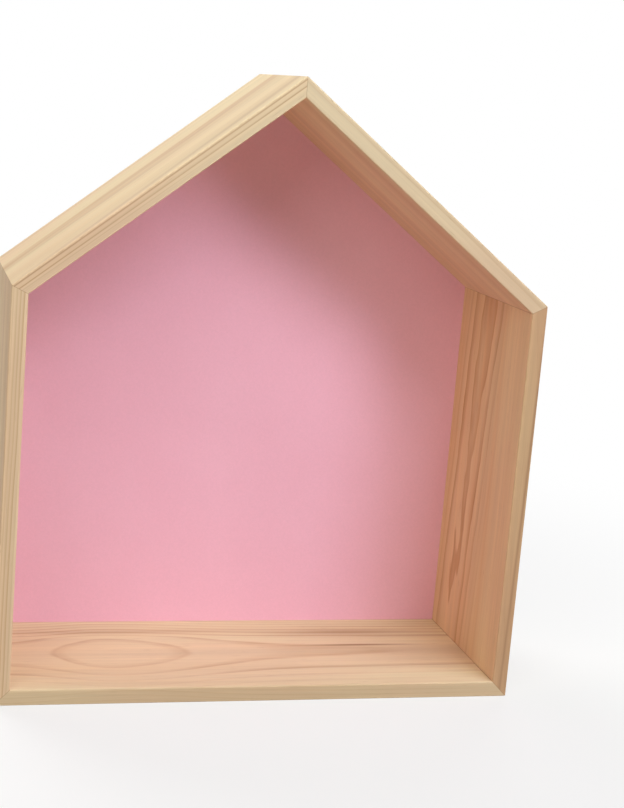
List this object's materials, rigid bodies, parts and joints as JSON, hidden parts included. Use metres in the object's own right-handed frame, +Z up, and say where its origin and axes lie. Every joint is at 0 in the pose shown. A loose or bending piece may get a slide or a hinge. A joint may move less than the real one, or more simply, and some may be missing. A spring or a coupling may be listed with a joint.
{
  "type": "house-shaped wall shelf",
  "caption": "House-shaped open box shelf of mitred pine boards with a pitched roof and a pink painted back panel; hangs on a wall by flush keyhole plates.",
  "frame": {"origin": "middle of the underside of the base board, half way between front and back", "axes": "+Z up, the open front faces -Y and the wall is at +Y, +X to the right seen from the front"},
  "size_m": [0.6, 0.22, 0.6996],
  "materials": {
    "pine": "planed and sanded, clear matt",
    "pink_panel": "matt pink paint on thin hardboard",
    "beech": "pressed, raw",
    "zinc_steel": "bright zinc plated"
  },
  "bodies": {
    "root": {"base_board": "pine", "right_wall_board": "pine", "right_roof_board": "pine", "left_roof_board": "pine", "left_wall_board": "pine", "back_panel": "pink_panel", "left_foot_biscuit_front": "beech", "left_foot_biscuit_rear": "beech", "right_foot_biscuit_front": "beech", "right_foot_biscuit_rear": "beech", "right_eave_biscuit_front": "beech", "right_eave_biscuit_rear": "beech", "ridge_biscuit_front": "beech", "ridge_biscuit_rear": "beech", "left_eave_biscuit_front": "beech", "left_eave_biscuit_rear": "beech", "left_hanger_plate": "zinc_steel", "right_hanger_plate": "zinc_steel", "left_hanger_screw_upper": "zinc_steel", "left_hanger_screw_lower": "zinc_steel", "right_hanger_screw_upper": "zinc_steel", "right_hanger_screw_lower": "zinc_steel"}
  },
  "joints": []
}
